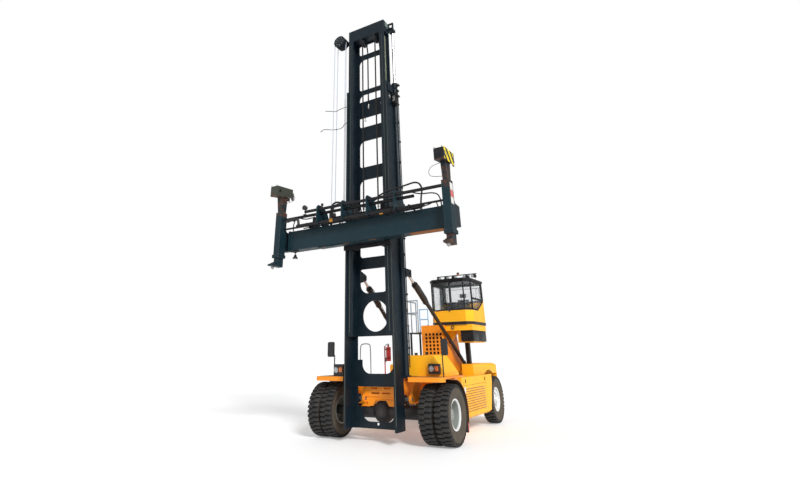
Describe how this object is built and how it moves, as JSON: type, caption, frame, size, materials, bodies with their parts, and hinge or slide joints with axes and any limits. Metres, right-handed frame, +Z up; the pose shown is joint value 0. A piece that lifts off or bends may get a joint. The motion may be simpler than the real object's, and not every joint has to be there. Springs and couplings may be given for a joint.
{
  "type": "empty container handler",
  "caption": "Wheeled empty container handler with a raised telescoping mast, side-lifting spreader, cab set behind the mast and a rounded rear counterweight.",
  "frame": {"origin": "middle of the machine's box on the floor", "axes": "+Z up, -Y the way the mast faces, +X the machine's left"},
  "size_m": [6.02, 7.6, 13.09],
  "materials": {
    "deck_orange": "gloss orange-yellow paint",
    "body_yellow": "gloss yellow paint",
    "mast_blue": "dark blue paint, dusty",
    "spreader_teal": "dark teal paint, worn",
    "frame_black": "satin black paint",
    "cylinder_brown": "brown-black paint",
    "rod_chrome": "polished hard chrome",
    "pin_steel": "ground steel",
    "casting_black": "painted casting",
    "rim_white": "white paint",
    "tyre_black": "rubber with a brown dust",
    "rail_grey": "grey paint",
    "rail_blue": "light blue paint",
    "seat_cloth": "black cloth",
    "plastic_black": "matt black plastic",
    "cab_glass": "lightly tinted glass",
    "safety_red": "gloss red paint",
    "exhaust_steel": "heat-darkened steel"
  },
  "bodies": {
    "chassis": {"access_rails": "rail_blue", "battery_box": "frame_black", "cab_body": "deck_orange", "cab_frame": "frame_black", "cab_glass": "cab_glass", "cab_pedestal": "body_yellow", "cab_post": "frame_black", "chassis_frame": "deck_orange", "cooler_housing": "deck_orange", "counterweight": "body_yellow", "drive_axle": "casting_black", "driver_seat": "seat_cloth", "engine_block": "casting_black", "engine_hood": "body_yellow", "exhaust_stack": "exhaust_steel", "fire_extinguisher": "safety_red", "front_decks": "deck_orange", "handrails": "rail_grey", "hydraulic_tank": "body_yellow", "lamp_units": "plastic_black", "mast_pivot_pins": "pin_steel", "mirrors": "plastic_black", "mudguards": "deck_orange", "roof_lamps": "plastic_black", "side_tanks": "body_yellow", "steer_axle": "casting_black", "steering_column": "plastic_black", "walkway": "frame_black"},
    "outer_mast": {"outer_uprights": "mast_blue", "outer_crossmembers": "mast_blue", "lift_barrels": "mast_blue"},
    "inner_mast": {"inner_uprights": "mast_blue", "inner_ladder": "mast_blue", "inner_head": "mast_blue", "lift_rods": "rod_chrome"},
    "carriage": {"carriage": "frame_black"},
    "spreader": {"spreader_beam": "spreader_teal", "reach_barrels": "frame_black"},
    "reach_left": {"telescope_left": "mast_blue", "end_leg_left": "spreader_teal", "reach_rods_left": "frame_black"},
    "reach_right": {"telescope_right": "mast_blue", "end_leg_right": "spreader_teal", "reach_rods_right": "frame_black"},
    "tilt_barrel_left": {"tilt_barrel_left": "cylinder_brown"},
    "tilt_barrel_right": {"tilt_barrel_right": "cylinder_brown"},
    "tilt_rod_left": {"tilt_rod_left": "rod_chrome"},
    "tilt_rod_right": {"tilt_rod_right": "rod_chrome"},
    "knuckle_left": {"knuckle_left": "casting_black"},
    "knuckle_right": {"knuckle_right": "casting_black"},
    "steer_wheel_left": {"steer_tyre_left": "tyre_black", "steer_rim_left": "rim_white"},
    "steer_wheel_right": {"steer_tyre_right": "tyre_black", "steer_rim_right": "rim_white"},
    "drive_wheel_left": {"drive_tyres_left": "tyre_black", "drive_rims_left": "rim_white"},
    "drive_wheel_right": {"drive_tyres_right": "tyre_black", "drive_rims_right": "rim_white"},
    "cab_door": {"cab_door": "frame_black", "cab_door_glass": "cab_glass"}
  },
  "joints": [
    {"name": "mast_tilt", "type": "hinge", "parent": "chassis", "child": "outer_mast", "pos_m": [0, -2.15, 1], "axis": [1, 0, 0], "range_deg": [-5, 5]},
    {"name": "inner_lift", "type": "slide", "parent": "outer_mast", "child": "inner_mast", "axis": [0, 0, 1], "range_m": [-2.09, 6]},
    {"name": "carriage_lift", "type": "slide", "parent": "inner_mast", "child": "carriage", "axis": [0, 0, 1], "range_m": [-2.09, 6]},
    {"name": "side_shift", "type": "slide", "parent": "carriage", "child": "spreader", "axis": [1, 0, 0], "range_m": [-0.6, 0.6]},
    {"name": "reach_left", "type": "slide", "parent": "spreader", "child": "reach_left", "axis": [1, 0, 0], "range_m": [0, 3.067]},
    {"name": "reach_right", "type": "slide", "parent": "spreader", "child": "reach_right", "axis": [-1, 0, 0], "range_m": [0, 3.067]},
    {"name": "tilt_barrel_left", "type": "hinge", "parent": "chassis", "child": "tilt_barrel_left", "pos_m": [0.985, 2.15, 1.56], "axis": [1, 0, 0], "range_deg": [-2, 2]},
    {"name": "tilt_rod_left", "type": "slide", "parent": "tilt_barrel_left", "child": "tilt_rod_left", "axis": [-0.0432, -0.8224, 0.5673], "range_m": [-0.26, 0.26]},
    {"name": "tilt_barrel_right", "type": "hinge", "parent": "chassis", "child": "tilt_barrel_right", "pos_m": [-0.985, 2.15, 1.56], "axis": [1, 0, 0], "range_deg": [-2, 2]},
    {"name": "tilt_rod_right", "type": "slide", "parent": "tilt_barrel_right", "child": "tilt_rod_right", "axis": [0.0432, -0.8224, 0.5673], "range_m": [-0.26, 0.26]},
    {"name": "steer_left", "type": "hinge", "parent": "chassis", "child": "knuckle_left", "pos_m": [1.18, 2.65, 0.685], "axis": [0, 0, 1], "range_deg": [-48, 48]},
    {"name": "steer_spin_left", "type": "hinge", "parent": "knuckle_left", "child": "steer_wheel_left", "pos_m": [1.545, 2.65, 0.685], "axis": [1, 0, 0], "continuous": true},
    {"name": "steer_right", "type": "hinge", "parent": "chassis", "child": "knuckle_right", "pos_m": [-1.18, 2.65, 0.685], "axis": [0, 0, 1], "range_deg": [-48, 48]},
    {"name": "steer_spin_right", "type": "hinge", "parent": "knuckle_right", "child": "steer_wheel_right", "pos_m": [-1.545, 2.65, 0.685], "axis": [1, 0, 0], "continuous": true},
    {"name": "drive_spin_left", "type": "hinge", "parent": "chassis", "child": "drive_wheel_left", "pos_m": [1.7, -1.95, 0.685], "axis": [1, 0, 0], "continuous": true},
    {"name": "drive_spin_right", "type": "hinge", "parent": "chassis", "child": "drive_wheel_right", "pos_m": [-1.7, -1.95, 0.685], "axis": [1, 0, 0], "continuous": true},
    {"name": "door_swing", "type": "hinge", "parent": "chassis", "child": "cab_door", "pos_m": [0.284, 1.816, 3.6], "axis": [0, 0, -1], "range_deg": [0, 95]}
  ],
  "couplings": [
    {"joint": "carriage_lift", "follows": "inner_lift", "ratio": 1},
    {"joint": "reach_right", "follows": "reach_left", "ratio": 1},
    {"joint": "steer_right", "follows": "steer_left", "ratio": 1},
    {"joint": "tilt_barrel_left", "follows": "mast_tilt", "ratio": 0.32},
    {"joint": "tilt_rod_left", "follows": "mast_tilt", "m_per_rad": 2.8998},
    {"joint": "tilt_barrel_right", "follows": "mast_tilt", "ratio": 0.32},
    {"joint": "tilt_rod_right", "follows": "mast_tilt", "m_per_rad": 2.8998}
  ]
}
